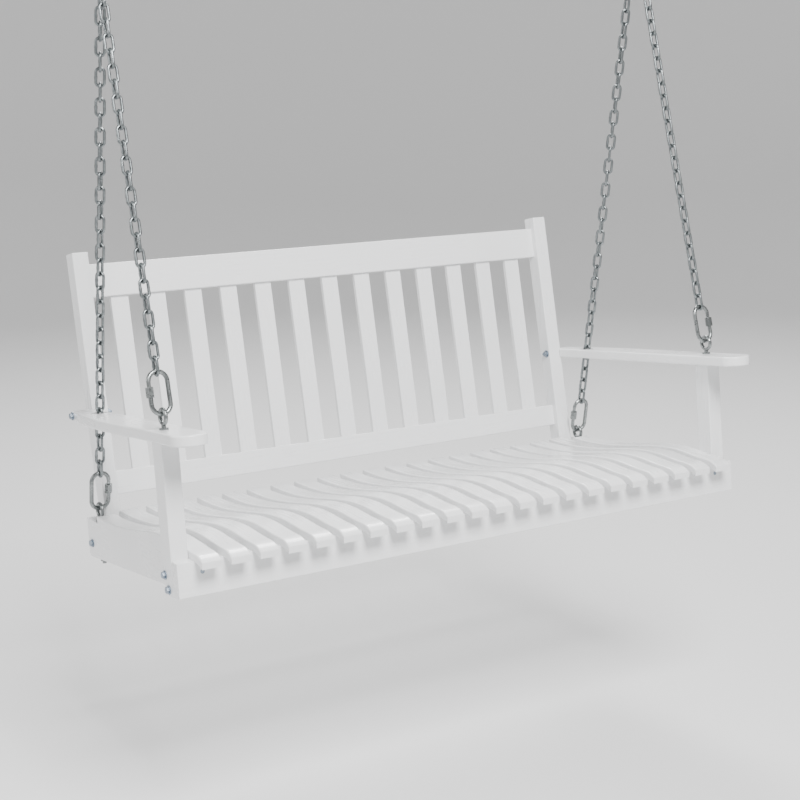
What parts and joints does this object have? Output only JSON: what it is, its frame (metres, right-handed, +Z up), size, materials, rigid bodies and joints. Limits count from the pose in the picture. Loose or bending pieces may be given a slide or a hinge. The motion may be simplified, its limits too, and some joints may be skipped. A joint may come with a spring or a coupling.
{
  "type": "porch swing seat",
  "caption": "Slatted wooden porch swing bench with arms and a reclined slatted back, hung by front and rear chains on each side from a ring and a ceiling hook.",
  "frame": {"origin": "on the ceiling plane midway between the two ceiling hooks", "axes": "+X along the bench, +Y from the front edge to the back rest, +Z up"},
  "size_m": [1.262, 0.6401, 1.3077],
  "materials": {
    "painted_wood": "white semi-gloss paint over planed boards",
    "dowel_wood": "bare beech dowel",
    "chain_zinc": "zinc-plated welded chain",
    "quick_link_zinc": "zinc-plated steel",
    "hanger_zinc": "zinc-plated steel",
    "eye_zinc": "zinc-plated steel",
    "fastener_zinc": "zinc-plated steel"
  },
  "bodies": {
    "hangers": {"ceiling_hook_left": "hanger_zinc", "ceiling_hook_right": "hanger_zinc"},
    "rings": {"hanging_rings": "hanger_zinc"},
    "left_chains": {"chain_left_front": "chain_zinc", "chain_left_rear": "chain_zinc", "quick_link_left_front": "quick_link_zinc", "quick_link_left_rear": "quick_link_zinc"},
    "right_chains": {"chain_right_front": "chain_zinc", "chain_right_rear": "chain_zinc", "quick_link_right_front": "quick_link_zinc", "quick_link_right_rear": "quick_link_zinc"},
    "seat": {"arm_bolt_nuts": "fastener_zinc", "arm_bolt_washers": "fastener_zinc", "arm_bolts": "fastener_zinc", "arm_left": "painted_wood", "arm_post_left": "painted_wood", "arm_post_right": "painted_wood", "arm_right": "painted_wood", "back_dowels": "dowel_wood", "back_lower_rail": "painted_wood", "back_slats": "painted_wood", "back_stile_left": "painted_wood", "back_stile_right": "painted_wood", "back_top_rail": "painted_wood", "end_seat_slats": "painted_wood", "frame_bolt_nuts": "fastener_zinc", "frame_bolt_washers": "fastener_zinc", "frame_bolts": "fastener_zinc", "front_eye_screws": "eye_zinc", "front_rail": "painted_wood", "front_rail_screws": "fastener_zinc", "mid_cross_rail": "painted_wood", "rear_cross_rail": "painted_wood", "rear_eye_bolts": "eye_zinc", "rear_eye_nuts": "fastener_zinc", "rear_eye_washers": "fastener_zinc", "seat_dowels": "dowel_wood", "seat_slats": "painted_wood", "side_rail_left": "painted_wood", "side_rail_right": "painted_wood", "slat_screws": "fastener_zinc"},
    "nut_left_front": {"quick_link_nut_left_front": "quick_link_zinc"},
    "nut_left_rear": {"quick_link_nut_left_rear": "quick_link_zinc"},
    "nut_right_front": {"quick_link_nut_right_front": "quick_link_zinc"},
    "nut_right_rear": {"quick_link_nut_right_rear": "quick_link_zinc"}
  },
  "joints": [
    {"name": "swing", "type": "hinge", "parent": "hangers", "child": "rings", "pos_m": [0, 0, -0.04639], "axis": [1, 0, 0], "range_deg": [-25, 25]},
    {"name": "sway", "type": "hinge", "parent": "rings", "child": "left_chains", "pos_m": [-0.58925, 0, -0.09344], "axis": [0, 0.8363, -0.5483], "range_deg": [-1.2, 1.2]},
    {"name": "seat_level", "type": "hinge", "parent": "left_chains", "child": "seat", "pos_m": [-0.58925, -0.02513, -1.01508], "axis": [0, 0.8363, -0.5483], "range_deg": [-1.2, 1.2]},
    {"name": "right_chains_follow", "type": "hinge", "parent": "seat", "child": "right_chains", "pos_m": [0.58925, -0.02513, -1.01508], "axis": [0, 0.8363, -0.5483], "range_deg": [-1.2, 1.2]},
    {"name": "nut_left_front_travel", "type": "slide", "parent": "left_chains", "child": "nut_left_front", "axis": [0.0098, 0.2621, 0.965], "range_m": [0, 0.0085]},
    {"name": "nut_left_rear_travel", "type": "slide", "parent": "left_chains", "child": "nut_left_rear", "axis": [-0.0076, -0.1566, 0.9876], "range_m": [0, 0.0085]},
    {"name": "nut_right_front_travel", "type": "slide", "parent": "right_chains", "child": "nut_right_front", "axis": [-0.0098, 0.2621, 0.965], "range_m": [0, 0.0085]},
    {"name": "nut_right_rear_travel", "type": "slide", "parent": "right_chains", "child": "nut_right_rear", "axis": [0.0076, -0.1566, 0.9876], "range_m": [0, 0.0085]}
  ],
  "couplings": [
    {"joint": "seat_level", "follows": "sway", "ratio": -1},
    {"joint": "right_chains_follow", "follows": "sway", "ratio": 1}
  ]
}
